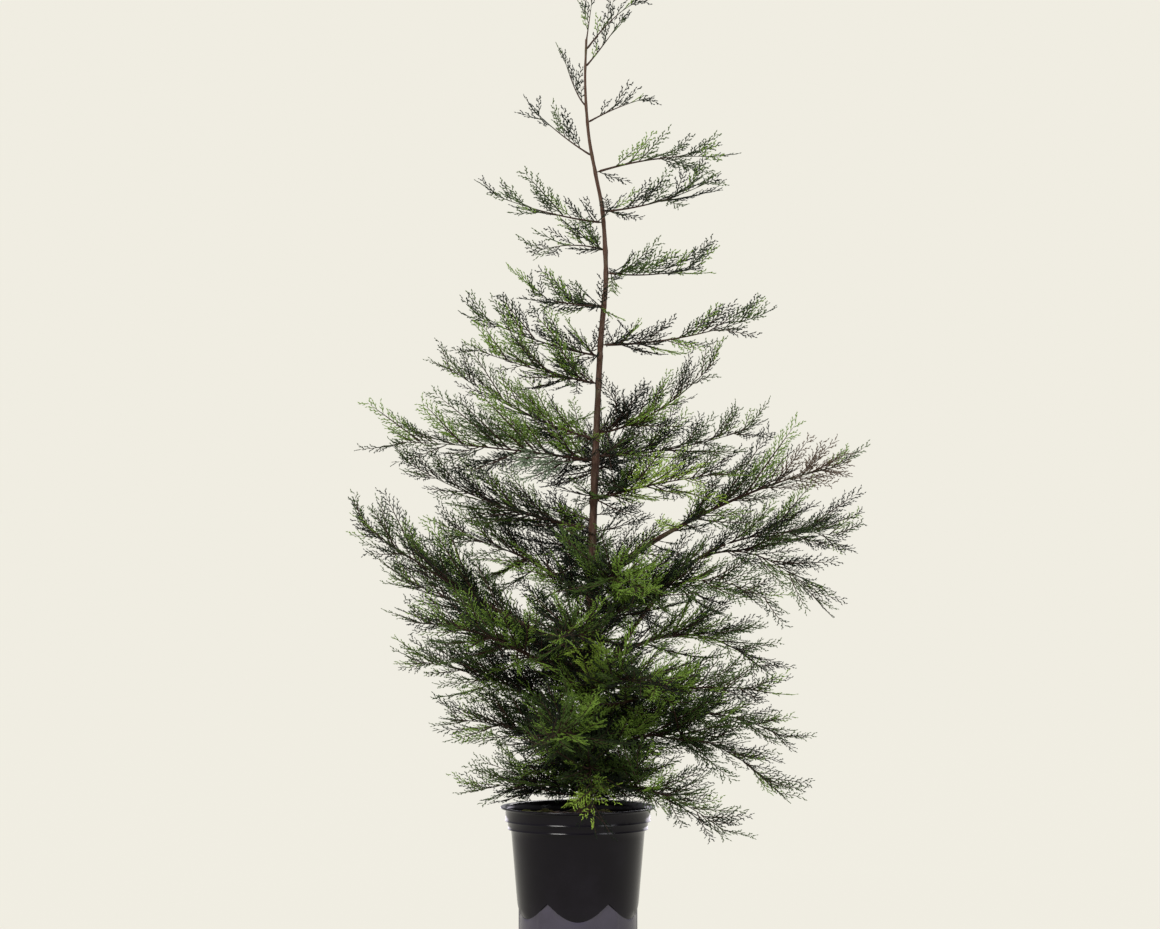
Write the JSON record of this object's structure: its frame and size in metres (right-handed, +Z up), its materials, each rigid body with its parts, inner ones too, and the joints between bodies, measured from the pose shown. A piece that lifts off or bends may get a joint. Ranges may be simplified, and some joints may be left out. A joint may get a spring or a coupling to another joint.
{
  "type": "potted leyland cypress",
  "caption": "Young conifer with one leaning leader, tiers of feathery upswept branches and a full skirt of foliage over a round black nursery pot of compost.",
  "frame": {"origin": "centre of the pot's flat underside", "axes": "+Z up along the trunk, +X to the right of the front view, +Y to the back"},
  "size_m": [0.9043, 0.7663, 1.704],
  "materials": {
    "pot": "smooth moulded black plastic with a soft sheen",
    "soil": "damp dark compost with crumbs of bark and patches of moss",
    "bark": "thin red-brown bark with fine lengthwise strips",
    "foliage": "flat sprays of small green scale leaves"
  },
  "bodies": {
    "root": {"bough_back_3": "bark", "bough_left_12": "bark", "bough_left_13": "bark", "bough_left_14": "bark", "bough_right_11": "bark", "bough_right_13": "bark", "bough_right_16": "bark", "bough_right_17": "bark", "bough_right_fork": "bark", "foliage_back_1": "foliage", "foliage_back_2": "foliage", "foliage_back_3": "foliage", "foliage_back_4": "foliage", "foliage_back_5": "foliage", "foliage_front_1": "foliage", "foliage_front_2": "foliage", "foliage_front_3": "foliage", "foliage_front_4": "foliage", "foliage_front_5": "foliage", "foliage_leader": "foliage", "foliage_left_1": "foliage", "foliage_left_10": "foliage", "foliage_left_11": "foliage", "foliage_left_12": "foliage", "foliage_left_13": "foliage", "foliage_left_14": "foliage", "foliage_left_15": "foliage", "foliage_left_16": "foliage", "foliage_left_17": "foliage", "foliage_left_2": "foliage", "foliage_left_3": "foliage", "foliage_left_4": "foliage", "foliage_left_5": "foliage", "foliage_left_6": "foliage", "foliage_left_7": "foliage", "foliage_left_8": "foliage", "foliage_left_9": "foliage", "foliage_right_1": "foliage", "foliage_right_10": "foliage", "foliage_right_11": "foliage", "foliage_right_12": "foliage", "foliage_right_13": "foliage", "foliage_right_14": "foliage", "foliage_right_15": "foliage", "foliage_right_16": "foliage", "foliage_right_17": "foliage", "foliage_right_18": "foliage", "foliage_right_19": "foliage", "foliage_right_2": "foliage", "foliage_right_3": "foliage", "foliage_right_4": "foliage", "foliage_right_5": "foliage", "foliage_right_6": "foliage", "foliage_right_7": "foliage", "foliage_right_8": "foliage", "foliage_right_9": "foliage", "pot": "pot", "soil": "soil", "trunk": "bark"}
  },
  "joints": []
}
